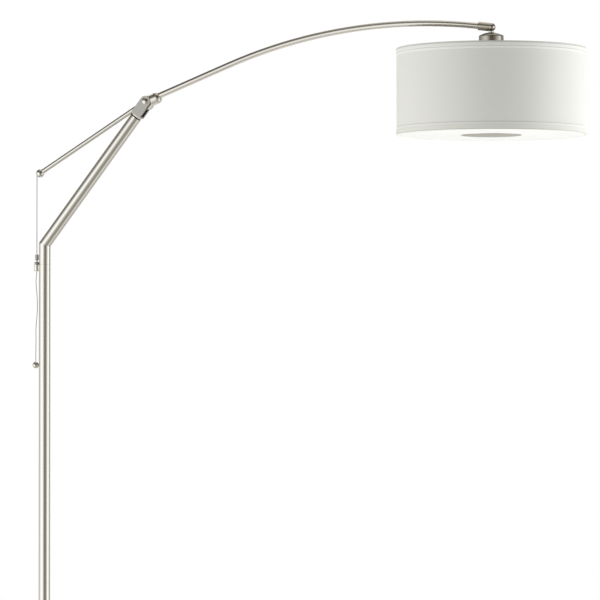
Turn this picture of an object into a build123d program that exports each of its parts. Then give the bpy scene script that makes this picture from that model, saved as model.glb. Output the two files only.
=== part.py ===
from build123d import *
import os
from math import cos, radians, sin, tan

# Arc floor lamp: weighted round base, upright pole with an inclined top, a boom that tilts in a
# fork and is held by a wire run through a release gripper, and a drum shade that hangs plumb.
# Millimetres, +Z up. The floor is Z 0, the pole stands at X 0, the shade end points to +X.

# Fits
FIXED_FIT = 0.05
TURN_FIT = 0.06
FREE_GAP = 0.3

# Base
BASE_R = 200.0
BASE_H = 26.0
BASE_EDGE = 7.0
COVER_T = 1.5
COVER_LIFT = 1.0
PAD_T = 2.0
PAD_INSET = 10.0
PAD_R = BASE_R - PAD_INSET
WEIGHT_GAP = 0.4
RECESS_R = 36.0
RECESS_H = 12.0
FOOT_TAIL_R = 12.0
FOOT_TAIL_LIFT = 1.0
FOOT_COLLAR_R = 27.0
FOOT_COLLAR_H = 4.0
FOOT_H = 12.0
FOOT_STEP = 2.5
SPIGOT_LEN = 60.0
WASHER_R = 30.0
WASHER_T = 2.5
NUT_ACROSS = 36.0
NUT_T = 7.0
INLET_Z = 11.5
INLET_BORE_R = 3.6
INLET_R = 5.0
INLET_FLANGE_R = 7.0
INLET_FLANGE_T = 2.2
INLET_DEPTH = 5.0
INLET_POCKET_R = 6.5
INLET_POCKET = 9.0
CHANNEL_W = 9.0
CHANNEL_H = 14.0

# Pole
POLE_R = 16.0
POLE_WALL = 1.5
POLE_BORE = POLE_R - POLE_WALL
SEAM_LOW = 500.0
SEAM_HIGH = 1452.5
SEAM_CHAMFER = 0.45
COUPLER_LEN = 70.0
COUPLER_BORE = 9.0
BEND_Z = 1508.0
INCLINE_PITCH = 51.8
PIVOT_DIST = 498.5
LEAD_R = 3.0
LEAD_FIT = 0.15
LEAD_BEND = 30.0

# Fork at the top of the pole
FORK_W = 30.0
FORK_T = 32.0
SLOT_W = 17.0
SLOT_DEPTH = 43.0
COLLAR_TOP = 48.0
COLLAR_BOTTOM = 54.0
COLLAR_RING = 3.6
COLLAR_CHAMFER = 0.6
FORK_SPIGOT = 34.0
BOLT_R = 4.0
BOLT_HEAD_R = 9.2
BOLT_HEAD_T = 4.8
BOLT_HEAD_CROWN = 3.8
NUT_BORE_T = 2.0
DISC_R = 11.0
DISC_T = 0.4

# Boom
TONGUE_T = 16.0
EYE_R = 14.0
WEB_R = 14.0
WEB_DROP = 9.0
BARREL_R = 15.0
BARREL_BACK = 13.2
BARREL_END = 42.5
BARREL_NOSE = 11.0
BARREL_DROP = 2.5
HUB_GAP = 0.9
FRONT_PITCH = 21.0
FRONT_RUN = 259.5
ARC_R = 1463.0
TIP_PITCH = -7.2
TIP_RUN = 26.0
ARM_R = 8.0
ARM_WALL = 1.25
ARM_IN_HUB = 22.0
ARM_LIFT = 1.15
REAR_PITCH = 31.25
REAR_OFFSET = 2.5
REAR_R = 6.4
REAR_WALL = 1.25
REAR_CLEAR = 0.8
REAR_START = 15.5
STUB_END = 46.0
REAR_BALL_R = 11.5
REAR_SOCKET = 8.5
WIRE_X = -24.0
WIRE_R = 0.9
WIRE_BORE_R = 1.3
WIRE_BEND = 9.0
MOUTH_R = 4.2
MOUTH_DEPTH = 6.5
STOP_R = 2.6
STOP_LEN = 8.0

# Wire gripper on the back of the pole
GRIP_R = 8.0
GRIP_BOTTOM = 1434.0
GRIP_TOP = 1452.0
GRIP_FLOOR = 2.2
GRIP_ROUND = 1.6
CONE_LOW_Z = 1441.0
CONE_LOW_R = 5.6
CONE_HIGH_Z = 1449.0
CONE_HIGH_R = 3.3
CAP_R = 7.0
CAP_LIP_R = 6.0
CAP_H = 7.0
SHAFT_R = 2.6
CAGE_GAP = 0.55
TIP_LOW_Z = 1464.5
TIP_TOP_Z = 1480.0
TIP_R = 5.2
TIP_ROUND = 1.0
BALL_R = 1.6
BALL_Z = 1444.6
BALL_COUNT = 3
SPRING_WIRE_R = 0.45
SPRING_R = 3.6
SPRING_PITCH = 1.9
SADDLE_W = 9.0
SADDLE_MARGIN = 2.0
STUD_R = 2.0
STUD_FROM = -18.5
STUD_TO = -10.0

# Free tail of the wire: height of each turn and its stand-off from the gripper axis
TAIL_TURNS = [(1421.0, -1.6), (1400.0, -3.0), (1371.0, 0.4), (1334.0, 1.9), (1303.0, 0.2),
              (1276.0, -2.9), (1247.0, -2.3), (1215.0, -2.9)]
TAIL_BEND_SHARE = 0.45
PULL_X = -27.0
PULL_Z = 1171.5
PULL_R = 9.0
PULL_SOCKET = 5.0

# Boom tip and hanging stem
FERRULE_R = 11.3
FERRULE_BACK = 36.0
FERRULE_BORE_DEPTH = 18.5
FERRULE_CHAMFER = 0.8
PIN_AHEAD = 44.0
PIN_R = 2.0
PIN_LEN = 21.6
FORK_SLOT = 7.0
TAB_T = 6.4
TAB_W = 12.8
TAB_EYE_R = 7.2
TAB_POCKET_R = 8.2
TAB_NOTCH_BACK = 7.8
TAB_NOTCH_RISE = 1.6
STEM_COLLAR_R = 7.0
STEM_R = 5.0
STEM_SHOULDER = 11.6
CANOPY_DROP = 13.8

# Head
CANOPY_R = 33.3
CANOPY_T = 1.2
CANOPY_CROWN = 9.5
CANOPY_SHOULDER = 3.5
SHADE_DROP = 58.0
SHADE_H = 230.0
SHADE_R = 253.0
SHADE_T = 1.2
TRIM_H = 20.0
TRIM_FOLD = 13.2
TRIM_T = 0.5
TRIM_FOLD_T = 0.4
TRIM_LIP = 8.0
HUB_RECESS = 13.0
HUB_PLATE_R = 36.0
HUB_PLATE_T = 2.5
SPOKE_R = 2.0
SPOKE_FROM = 34.5
SPOKE_SHORT = 0.8
SPOKE_COUNT = 3
RING_WIRE_R = 2.0
STEM_NUT_ACROSS = 17.0
STEM_NUT_T = 6.0
CLUSTER_R = 22.0
CLUSTER_H = 32.0
STEM_IN_CLUSTER = 12.0
HOLDER_COUNT = 2
HOLDER_TURN = 90.0
HOLDER_STUB_R = 6.0
HOLDER_STUB_FROM = 16.0
HOLDER_FROM = 23.0
HOLDER_TO = 62.0
HOLDER_R = 19.0
HOLDER_CAVITY_R = 14.0
HOLDER_CAVITY_FROM = 30.0
HOLDER_ROUND = 3.0
BULB_CAP_R = 13.4
BULB_CAP_FROM = 34.0
BULB_CAP_TO = 60.0
GLASS_NECK_R = 13.0
GLASS_R = 30.0
GLASS_T = 0.9
GLASS_CENTRE = 106.0
GLASS_TAPER_R = 25.0
GLASS_TAPER_TO = 90.0
DIFFUSER_T = 2.5
DIFFUSER_LIFT = 0.3
DIFFUSER_GAP = 0.7
PLATE_R = 81.0
PLATE_T = 1.2
PLATE_BOSS_RISE = 8.0
PLATE_ROUND = 0.5
PLATE_BOSS_R = 7.0
ROD_R = 3.0
BOSS_HOLE_GAP = 0.3
ROD_IN_CLUSTER = 9.0

FROM_END = (Align.CENTER, Align.CENTER, Align.MIN)
ACROSS = Vector(0, 1, 0)
UP = Vector(0, 0, 1)


def pitched(angle):
    """Unit vector in the lamp's plane, pitched up from +X."""
    return Vector(cos(radians(angle)), 0, sin(radians(angle)))


def frame_at(origin, direction):
    """Plane with Z along a direction of the lamp's plane and Y across that plane."""
    return Plane(origin=origin, x_dir=ACROSS.cross(direction), z_dir=direction)


def at_height(z, x=0.0):
    return Vector(x, 0, z)


def turned(corners):
    """Solid of revolution about Z from (radius, height) corners."""
    outline = Polyline(*[(radius, 0, height) for radius, height in corners], close=True)
    return revolve(make_face(outline), Axis.Z)


def rod(start, end, radius, bore=0.0):
    span = end - start
    solid = Cylinder(radius, span.length, align=FROM_END)
    if bore > 0:
        solid -= Cylinder(bore, span.length, align=FROM_END)
    return frame_at(start, span.normalized()) * solid


def cross_pin(centre, radius, length):
    """Cylinder across the lamp's plane."""
    return Plane(origin=centre, x_dir=(1, 0, 0), z_dir=(0, 1, 0)) * Cylinder(radius, length)


def hexagon(across, height):
    return extrude(RegularPolygon(across / 2, 6, major_radius=False), height)


def tube(z_from, z_to, radius, bore, chamfer_size):
    """Upright tube with its outer end corners broken."""
    return turned([(bore, z_from), (radius - chamfer_size, z_from), (radius, z_from + chamfer_size),
                   (radius, z_to - chamfer_size), (radius - chamfer_size, z_to), (bore, z_to)])


def domed(radius, top, bottom, crown):
    """Upright bar whose top is a shallow spherical cap."""
    sphere_r = (radius ** 2 + crown ** 2) / (2 * crown)
    bar = Pos(0, 0, bottom) * Cylinder(radius, top - bottom, align=FROM_END)
    return bar & (Pos(0, 0, top - sphere_r) * Sphere(sphere_r))


def swept(path, radius, bore=0.0):
    """Bar or tube along a path that lies in the lamp's plane."""
    start = frame_at(path @ 0, path % 0)
    solid = sweep(start * Circle(radius), path=path)
    if bore > 0:
        solid -= sweep(start * Circle(bore), path=path)
    return solid


def circles_of(shape, radius):
    """Round edges of one radius, lowest first."""
    rounds = shape.edges().filter_by(GeomType.CIRCLE)
    return rounds.filter_by(lambda edge: abs(edge.radius - radius) < FIXED_FIT).sort_by(Axis.Z)


def cord_path(points):
    """Straight runs joined by tangent arcs, with the radii that the runs allow."""
    radii = []
    for before, here, after in zip(points, points[1:], points[2:]):
        turn = radians((here - before).get_angle(after - here))
        shorter = min((here - before).length, (after - here).length)
        radii.append(TAIL_BEND_SHARE * shorter / tan(turn / 2))
    return FilletPolyline(*points, radius=radii), radii


# Places that several pieces share
INCLINE = pitched(INCLINE_PITCH)
INCLINE_SIDE = ACROSS.cross(INCLINE)
FRONT = pitched(FRONT_PITCH)
REAR = pitched(REAR_PITCH) * -1
REAR_LIFT = ACROSS.cross(REAR)
TIP = pitched(TIP_PITCH)
BEND = at_height(BEND_Z)
PIVOT = BEND + INCLINE * PIVOT_DIST
POLE_TOP = PIVOT - INCLINE * COLLAR_BOTTOM
ARM_ROOT = PIVOT - ACROSS.cross(FRONT) * ARM_LIFT
ARC_START = ARM_ROOT + FRONT * FRONT_RUN
ARC_CENTRE = ARC_START + ACROSS.cross(FRONT) * ARC_R
ARC_MIDDLE = ARC_CENTRE - ACROSS.cross(pitched((FRONT_PITCH + TIP_PITCH) / 2)) * ARC_R
ARC_END = ARC_CENTRE - ACROSS.cross(TIP) * ARC_R
PIN = ARC_END + TIP * PIN_AHEAD
REAR_ROOT = PIVOT + REAR_LIFT * REAR_OFFSET
WIRE_EXIT = REAR_ROOT + REAR * ((REAR_ROOT.X - WIRE_X) / -REAR.X)
REAR_BALL = WIRE_EXIT - REAR * REAR_BALL_R
FOOT_TOP = BASE_H + FOOT_H
AXIS_X = PIN.X
CANOPY_TOP = PIN.Z - CANOPY_DROP
SHADE_TOP = PIN.Z - SHADE_DROP
SHADE_BOTTOM = SHADE_TOP - SHADE_H
SHADE_BORE = SHADE_R - SHADE_T
HUB_TOP = SHADE_TOP - HUB_RECESS
HUB_UNDER = HUB_TOP - HUB_PLATE_T
CLUSTER_TOP = HUB_UNDER - STEM_NUT_T
CLUSTER_BOTTOM = CLUSTER_TOP - CLUSTER_H
HOLDER_Z = CLUSTER_TOP - CLUSTER_H / 2
RING_R = SHADE_BORE - TRIM_T - 2 * FIXED_FIT - RING_WIRE_R
DIFFUSER_Z = SHADE_BOTTOM + DIFFUSER_LIFT
PLATE_Z = DIFFUSER_Z - PLATE_T
STUD_Z = (GRIP_BOTTOM + GRIP_TOP) / 2
WIRE_MIDDLE = (WIRE_EXIT.Z + TIP_TOP_Z) / 2

os.makedirs("parts", exist_ok=True)
parts = {}

# Base cover, weight and underside pad
cover = Pos(0, 0, COVER_LIFT) * Cylinder(BASE_R, BASE_H - COVER_LIFT, align=FROM_END)
cover = fillet(cover.edges().group_by(Axis.Z)[-1], BASE_EDGE)
hollow = Pos(0, 0, COVER_LIFT) * Cylinder(BASE_R - COVER_T, BASE_H - COVER_LIFT - COVER_T, align=FROM_END)
cover -= fillet(hollow.edges().group_by(Axis.Z)[-1], BASE_EDGE - COVER_T)
cover -= Cylinder(FOOT_TAIL_R + FIXED_FIT, BASE_H * 2)
inlet = at_height(INLET_Z, -BASE_R)
cover -= rod(inlet - Vector(BASE_EDGE, 0, 0), inlet + Vector(BASE_EDGE, 0, 0), INLET_R + FIXED_FIT)
parts["base_cover"] = cover

weight_r = BASE_R - COVER_T - WEIGHT_GAP
weight = Pos(0, 0, PAD_T) * Cylinder(weight_r, BASE_H - COVER_T - PAD_T, align=FROM_END)
weight = fillet(weight.edges().group_by(Axis.Z)[-1], BASE_EDGE - COVER_T)
weight -= Pos(0, 0, PAD_T) * Cylinder(RECESS_R, RECESS_H, align=FROM_END)
weight -= Cylinder(FOOT_TAIL_R + FIXED_FIT, BASE_H * 2)
weight -= Pos(-BASE_R / 2, 0, PAD_T) * Box(BASE_R, CHANNEL_W, CHANNEL_H, align=FROM_END)
weight -= rod(inlet, inlet + Vector(INLET_POCKET, 0, 0), INLET_POCKET_R)
parts["base_weight"] = weight
parts["base_pad"] = Cylinder(PAD_R, PAD_T, align=FROM_END)

grommet = rod(inlet - Vector(INLET_FLANGE_T, 0, 0), inlet + Vector(INLET_DEPTH, 0, 0), INLET_R)
grommet += rod(inlet - Vector(INLET_FLANGE_T, 0, 0), inlet - Vector(FIXED_FIT, 0, 0), INLET_FLANGE_R)
grommet -= rod(inlet - Vector(INLET_FLANGE_R, 0, 0), inlet + Vector(INLET_FLANGE_R, 0, 0), INLET_BORE_R)
parts["cord_grommet"] = grommet

# Foot of the pole, clamped through the weight
spigot_r = POLE_BORE - FIXED_FIT
tail_end = PAD_T + FOOT_TAIL_LIFT
parts["pole_foot"] = turned([(LEAD_R + LEAD_FIT, tail_end), (FOOT_TAIL_R, tail_end), (FOOT_TAIL_R, BASE_H),
                             (FOOT_COLLAR_R, BASE_H), (FOOT_COLLAR_R, BASE_H + FOOT_COLLAR_H),
                             (POLE_R + FOOT_STEP, FOOT_TOP), (spigot_r, FOOT_TOP),
                             (spigot_r, FOOT_TOP + SPIGOT_LEN), (LEAD_R + LEAD_FIT, FOOT_TOP + SPIGOT_LEN)])
recess_top = PAD_T + RECESS_H
clamp_bore = FOOT_TAIL_R + FIXED_FIT
parts["base_washer"] = tube(recess_top - WASHER_T, recess_top, WASHER_R, clamp_bore, SEAM_CHAMFER)
nut = Pos(0, 0, recess_top - WASHER_T - NUT_T) * hexagon(NUT_ACROSS, NUT_T)
parts["base_nut"] = nut - Cylinder(clamp_bore, BASE_H * 2)

# Pole sections and the sleeves that join them
parts["pole_lower"] = tube(FOOT_TOP, SEAM_LOW, POLE_R, POLE_BORE, SEAM_CHAMFER)
stud_hole = rod(at_height(STUD_Z, -POLE_R * 2), at_height(STUD_Z), STUD_R + FIXED_FIT)
parts["pole_middle"] = tube(SEAM_LOW, SEAM_HIGH, POLE_R, POLE_BORE, SEAM_CHAMFER) - stud_hole
half = UP * (COUPLER_LEN / 2)
parts["coupler_lower"] = rod(at_height(SEAM_LOW) - half, at_height(SEAM_LOW) + half, spigot_r, COUPLER_BORE)
coupler = rod(at_height(SEAM_HIGH) - half, at_height(SEAM_HIGH) + half, spigot_r, COUPLER_BORE)
parts["coupler_upper"] = coupler - stud_hole


def bent_bar(radius):
    """Upright and inclined bars mitred together at the bend."""
    mitre = Plane(origin=BEND, x_dir=ACROSS, z_dir=(UP + INCLINE).normalized())
    upright = split(rod(at_height(SEAM_HIGH), BEND + UP * POLE_R, radius), mitre, keep=Keep.BOTTOM)
    inclined = split(rod(BEND - INCLINE * POLE_R, POLE_TOP, radius), mitre, keep=Keep.TOP)
    return upright + inclined


pole_upper = bent_bar(POLE_R) - bent_bar(POLE_BORE)
pole_upper = chamfer(circles_of(pole_upper, POLE_R)[0], SEAM_CHAMFER)
parts["pole_upper"] = pole_upper

# Fork: two ears, a collar with a shadow groove under it and a spigot in the pole; the slot floor slopes
# past the rear arm
fork_frame = frame_at(PIVOT, INCLINE)
fork = Pos(0, 0, -COLLAR_TOP) * Box(FORK_W, FORK_T, COLLAR_TOP, align=FROM_END)
fork = fork_frame * fork + cross_pin(PIVOT, FORK_W / 2, FORK_T)
collar = Pos(0, 0, -COLLAR_TOP - COLLAR_RING) * tube(0, COLLAR_RING, POLE_R, LEAD_R, COLLAR_CHAMFER)
spigot_len = COLLAR_BOTTOM - COLLAR_TOP + FORK_SPIGOT
spigot = Pos(0, 0, -COLLAR_TOP - spigot_len) * Cylinder(spigot_r, spigot_len, align=FROM_END)
fork += fork_frame * (collar + spigot)
slot_side = ACROSS.cross(REAR) * -(REAR_R + REAR_CLEAR)
slot_floor = PIVOT - INCLINE * SLOT_DEPTH
floor_right = slot_floor + INCLINE_SIDE * FORK_W
reach = (slot_floor - REAR_ROOT - slot_side).dot(INCLINE) / REAR.dot(INCLINE)
floor_left = REAR_ROOT + slot_side + REAR * reach
slope_end = REAR_ROOT + slot_side + REAR * (COLLAR_BOTTOM * 2)
slot_top = INCLINE * (SLOT_DEPTH * 6)
slot_points = [floor_right, floor_left, slope_end, slope_end + slot_top, floor_right + slot_top]
slot_face = make_face(Polyline(*slot_points, close=True))
fork -= extrude(slot_face, SLOT_W / 2, dir=ACROSS, both=True)
fork -= cross_pin(PIVOT, BOLT_R + FIXED_FIT, FORK_T * 2)
lead_hole = Cylinder(LEAD_R + LEAD_FIT, (COLLAR_BOTTOM + FORK_SPIGOT) * 2)
parts["fork"] = fork - fork_frame * lead_hole

# Pivot bolt with a domed head in front, a domed nut behind and a thin disc on each side of the tongue
front_frame = Plane(origin=PIVOT, x_dir=(1, 0, 0), z_dir=(0, -1, 0))
back_frame = Plane(origin=PIVOT, x_dir=(1, 0, 0), z_dir=(0, 1, 0))
ear_face = FORK_T / 2
head = domed(BOLT_HEAD_R, ear_face + BOLT_HEAD_T, ear_face, BOLT_HEAD_CROWN)
bolt = head + Pos(0, 0, -ear_face - NUT_BORE_T) * Cylinder(BOLT_R, FORK_T + NUT_BORE_T, align=FROM_END)
parts["pivot_bolt"] = front_frame * bolt
nut_bore = Cylinder(BOLT_R + FIXED_FIT, NUT_BORE_T + FIXED_FIT, align=FROM_END)
parts["pivot_nut"] = back_frame * (head - Pos(0, 0, ear_face) * nut_bore)
disc_out = SLOT_W / 2 - FIXED_FIT
disc = tube(disc_out - DISC_T, disc_out, DISC_R, BOLT_R + FIXED_FIT, FIXED_FIT)
parts["pivot_discs"] = Compound(children=[front_frame * disc, back_frame * disc])

# Boom hub: barrel with a hollowed shoulder round the ears, a tongue between them with a web under it
# and a rear stub
hub_frame = frame_at(PIVOT, FRONT)
barrel = Pos(BARREL_DROP, 0, BARREL_BACK) * Cylinder(BARREL_R, BARREL_END - BARREL_BACK, align=FROM_END)
barrel = fillet(barrel.edges().group_by(Axis.Z)[-1], BARREL_NOSE)
barrel = hub_frame * barrel - cross_pin(PIVOT, FORK_W / 2 + HUB_GAP, FORK_T * 2)
tongue = hub_frame * Box(EYE_R * 2, TONGUE_T, BARREL_BACK * 2, align=FROM_END)
web = cross_pin(PIVOT + ACROSS.cross(FRONT) * WEB_DROP, WEB_R, TONGUE_T)
hub = barrel + tongue + web + cross_pin(PIVOT, EYE_R, TONGUE_T)
hub += rod(REAR_ROOT, REAR_ROOT + REAR * STUB_END, REAR_R - REAR_WALL - FIXED_FIT)
hub -= cross_pin(PIVOT, BOLT_R + TURN_FIT, FORK_T * 2)
arm_seat = ARM_ROOT + FRONT * (BARREL_END - ARM_IN_HUB)
lead_start = ARM_ROOT + FRONT * EYE_R
hub -= rod(arm_seat, ARM_ROOT + FRONT * (BARREL_END + ARM_R), ARM_R + FIXED_FIT)
hub -= rod(lead_start, arm_seat, LEAD_R + LEAD_FIT)
parts["boom_hub"] = hub

# Front arm: straight run, long arc and a short straight end in the ferrule
front_path = Wire([Edge.make_line(arm_seat, ARC_START),
                   Edge.make_three_point_arc(ARC_START, ARC_MIDDLE, ARC_END),
                   Edge.make_line(ARC_END, ARC_END + TIP * TIP_RUN)])
parts["arc_arm"] = swept(front_path, ARM_R, ARM_R - ARM_WALL)
lead_path = Wire([Edge.make_line(lead_start, ARC_START),
                  Edge.make_three_point_arc(ARC_START, ARC_MIDDLE, ARC_END),
                  Edge.make_line(ARC_END, ARC_END + TIP * (TIP_RUN - FREE_GAP))])
parts["boom_lead"] = swept(lead_path, LEAD_R)
pole_lead_path = FilletPolyline(at_height(tail_end), BEND, PIVOT - INCLINE * (SLOT_DEPTH + FREE_GAP),
                                radius=LEAD_BEND)
parts["pole_lead"] = swept(pole_lead_path, LEAD_R)

# Rear arm with its end ball, drilled for the wire
ball_seat = REAR_BALL - REAR * (REAR_BALL_R - REAR_SOCKET)
parts["rear_arm"] = rod(REAR_ROOT + REAR * REAR_START, ball_seat, REAR_R, REAR_R - REAR_WALL)
ball = Pos(REAR_BALL) * Sphere(REAR_BALL_R)
ball -= rod(REAR_BALL - REAR * REAR_BALL_R * 2, ball_seat, REAR_R + FIXED_FIT)
ball -= rod(REAR_BALL - REAR * REAR_BALL_R, WIRE_EXIT + REAR, WIRE_BORE_R)
mouth_frame = frame_at(WIRE_EXIT - REAR * MOUTH_DEPTH, REAR)
ball -= mouth_frame * Cone(WIRE_BORE_R, MOUTH_R, MOUTH_DEPTH + TIP_ROUND, align=FROM_END)
parts["rear_ball"] = ball
parts["wire_stop"] = rod(ball_seat - REAR * STOP_LEN, ball_seat, STOP_R, WIRE_R + FIXED_FIT)

# Wire from the stop in the ball down to the gripper, in two halves that follow its two ends
wire_corner = at_height(WIRE_EXIT.Z, WIRE_X)
wire_turn = FilletPolyline(ball_seat - REAR * STOP_LEN, wire_corner, at_height(WIRE_MIDDLE, WIRE_X), radius=WIRE_BEND)
parts["lift_wire_upper"] = swept(wire_turn, WIRE_R)
parts["lift_wire_lower"] = rod(at_height(TIP_TOP_Z, WIRE_X), at_height(WIRE_MIDDLE, WIRE_X), WIRE_R)
tail_points = [at_height(GRIP_BOTTOM, WIRE_X)]
tail_points += [at_height(height, WIRE_X + stand_off) for height, stand_off in TAIL_TURNS]
tail_points += [at_height(PULL_Z + PULL_R - PULL_SOCKET + FIXED_FIT, PULL_X)]
tail_path, tail_radii = cord_path(tail_points)
tail = swept(tail_path, WIRE_R)
parts["tail_wire"] = tail + rod(at_height(GRIP_BOTTOM, WIRE_X), at_height(TIP_TOP_Z - FREE_GAP, WIRE_X), WIRE_R)
print("tail radii", [round(radius) for radius in tail_radii])
tail_section = Circle(WIRE_R).area
print("tail volume", round(tail.volume, 1), "section x length", round(tail_section * tail_path.length, 1))
pull_ball = Pos(PULL_X, 0, PULL_Z) * Sphere(PULL_R)
pull_socket = at_height(PULL_Z + PULL_R - PULL_SOCKET, PULL_X)
parts["pull_ball"] = pull_ball - rod(pull_socket, pull_socket + UP * PULL_R, WIRE_R + FIXED_FIT * 4)

# Gripper: coned barrel on a saddle, cap, release plunger with its ball cage, balls and spring
grip_axis = Pos(WIRE_X, 0, 0)
grip_floor = GRIP_BOTTOM + GRIP_FLOOR
barrel_body = turned([(WIRE_BORE_R, GRIP_BOTTOM), (GRIP_R - GRIP_ROUND, GRIP_BOTTOM),
                      (GRIP_R, GRIP_BOTTOM + GRIP_ROUND), (GRIP_R, GRIP_TOP), (CONE_HIGH_R, GRIP_TOP),
                      (CONE_HIGH_R, CONE_HIGH_Z), (CONE_LOW_R, CONE_LOW_Z), (CONE_LOW_R, grip_floor),
                      (WIRE_BORE_R, grip_floor)])
saddle_h = GRIP_TOP - GRIP_BOTTOM - SADDLE_MARGIN * 2
saddle = Pos(WIRE_X / 2, 0, GRIP_BOTTOM + SADDLE_MARGIN) * Box(-WIRE_X, SADDLE_W, saddle_h, align=FROM_END)
saddle -= Cylinder(POLE_R + FIXED_FIT, GRIP_TOP * 2)
saddle -= grip_axis * Cylinder(GRIP_R - POLE_WALL, GRIP_TOP * 2)
grip_body = grip_axis * barrel_body + saddle
parts["gripper_body"] = grip_body - rod(at_height(STUD_Z, STUD_FROM), at_height(STUD_Z), STUD_R + FIXED_FIT)
parts["gripper_stud"] = rod(at_height(STUD_Z, STUD_FROM), at_height(STUD_Z, STUD_TO), STUD_R)
cap_top = GRIP_TOP + CAP_H
parts["gripper_cap"] = grip_axis * turned([(SHAFT_R + FREE_GAP, GRIP_TOP), (CAP_LIP_R, GRIP_TOP),
                                           (CAP_R, GRIP_TOP + CAP_H / 2), (CAP_R, cap_top - GRIP_ROUND),
                                           (CAP_LIP_R, cap_top), (SHAFT_R + FREE_GAP, cap_top)])
cage_low = CONE_LOW_Z + FREE_GAP
cage_slope = (CONE_LOW_R - CONE_HIGH_R) / (CONE_HIGH_Z - CONE_LOW_Z)
cage_low_r = CONE_LOW_R - CAGE_GAP - cage_slope * FREE_GAP
plunger = turned([(WIRE_BORE_R, cage_low), (cage_low_r, cage_low), (SHAFT_R, CONE_HIGH_Z - FREE_GAP),
                  (SHAFT_R, TIP_LOW_Z), (TIP_R - TIP_ROUND, TIP_LOW_Z), (TIP_R, TIP_LOW_Z + TIP_ROUND),
                  (TIP_R, TIP_TOP_Z - TIP_ROUND), (TIP_R - TIP_ROUND, TIP_TOP_Z), (WIRE_BORE_R, TIP_TOP_Z)])
ball_turns = [Rot(0, 0, 360 / BALL_COUNT * index) for index in range(BALL_COUNT)]
ball_window = frame_at(at_height(BALL_Z), Vector(1, 0, 0)) * Cylinder(BALL_R + FIXED_FIT * 2, CONE_LOW_R, align=FROM_END)
for ball_turn in ball_turns:
    plunger -= ball_turn * ball_window
parts["gripper_plunger"] = grip_axis * plunger
ball_at = Pos(WIRE_R + BALL_R + FIXED_FIT, 0, BALL_Z)
grip_balls = [grip_axis * ball_turn * ball_at * Sphere(BALL_R) for ball_turn in ball_turns]
parts["gripper_balls"] = Compound(children=grip_balls)
spring_low = grip_floor + SPRING_WIRE_R
spring_h = cage_low - FIXED_FIT - SPRING_WIRE_R - spring_low
coil = Helix(pitch=SPRING_PITCH, height=spring_h, radius=SPRING_R)
spring = sweep(Plane(origin=coil @ 0, z_dir=coil % 0) * Circle(SPRING_WIRE_R), path=coil)
parts["gripper_spring"] = grip_axis * Pos(0, 0, spring_low) * spring
print("spring gap", round(SPRING_PITCH - SPRING_WIRE_R * 2, 2))

# Tip ferrule with a slotted round end, its pin and the hanging stem
tip_frame = frame_at(PIN, TIP)
ferrule = Pos(0, 0, -FERRULE_BACK) * Cylinder(FERRULE_R, FERRULE_BACK, align=FROM_END)
ferrule = chamfer(ferrule.edges().group_by(Axis.Z)[0], FERRULE_CHAMFER) + Sphere(FERRULE_R)
ferrule -= Pos(0, 0, -FERRULE_BACK) * Cylinder(ARM_R + FIXED_FIT, FERRULE_BORE_DEPTH, align=FROM_END)
notch_x = FERRULE_R * 2
notch = Pos(notch_x / 2 - TAB_NOTCH_RISE, 0, -TAB_NOTCH_BACK) * Box(notch_x, FORK_SLOT, FERRULE_R * 3, align=FROM_END)
pocket = Plane(origin=(0, 0, 0), x_dir=(1, 0, 0), z_dir=(0, 1, 0)) * Cylinder(TAB_POCKET_R, FORK_SLOT)
ferrule = tip_frame * (ferrule - notch - pocket)
parts["tip_ferrule"] = ferrule - cross_pin(PIN, PIN_R + FIXED_FIT / 2, FERRULE_R * 3)
parts["tip_pin"] = cross_pin(PIN, PIN_R, PIN_LEN)
shoulder = PIN.Z - STEM_SHOULDER
stem_end = CLUSTER_TOP - STEM_IN_CLUSTER
stem = turned([(0, shoulder), (STEM_COLLAR_R, shoulder), (STEM_COLLAR_R, CANOPY_TOP), (STEM_R, CANOPY_TOP),
               (STEM_R, stem_end), (0, stem_end)])
stem = Pos(AXIS_X, 0, 0) * stem
tab_h = PIN.Z - shoulder
stem += Pos(AXIS_X, 0, shoulder) * Box(TAB_W, TAB_T, tab_h, align=FROM_END)
stem += cross_pin(PIN, TAB_EYE_R, TAB_T)
parts["stem"] = stem - cross_pin(PIN, PIN_R + TURN_FIT, FERRULE_R * 3)

# Canopy, shade frame and fabric drum with folded trims
head_axis = Pos(AXIS_X, 0, 0)
canopy = domed(CANOPY_R, CANOPY_TOP, HUB_TOP, CANOPY_CROWN)
canopy = fillet(circles_of(canopy, CANOPY_R)[-1], CANOPY_SHOULDER)
canopy -= domed(CANOPY_R - CANOPY_T, CANOPY_TOP - CANOPY_T, HUB_TOP - CANOPY_T, CANOPY_CROWN)
parts["canopy"] = head_axis * (canopy - Pos(0, 0, CANOPY_TOP) * Cylinder(STEM_R + FIXED_FIT, CANOPY_CROWN * 2))
frame = Pos(0, 0, HUB_UNDER) * Cylinder(HUB_PLATE_R, HUB_PLATE_T, align=FROM_END)
frame -= Pos(0, 0, HUB_UNDER) * Cylinder(STEM_R + FIXED_FIT, HUB_PLATE_T * 3)
ring_top = SHADE_TOP - RING_WIRE_R - FIXED_FIT
spoke = rod(at_height(HUB_TOP - HUB_PLATE_T / 2, SPOKE_FROM), at_height(ring_top, RING_R - SPOKE_SHORT), SPOKE_R)
for index in range(SPOKE_COUNT):
    frame += Rot(0, 0, 360 / SPOKE_COUNT * (index + 0.5)) * spoke
frame += Pos(0, 0, ring_top) * Torus(RING_R, RING_WIRE_R)
parts["shade_frame"] = head_axis * frame
parts["shade_drum"] = head_axis * turned([(SHADE_BORE, SHADE_BOTTOM), (SHADE_R, SHADE_BOTTOM),
                                          (SHADE_R, SHADE_TOP), (SHADE_BORE, SHADE_TOP)])


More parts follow.
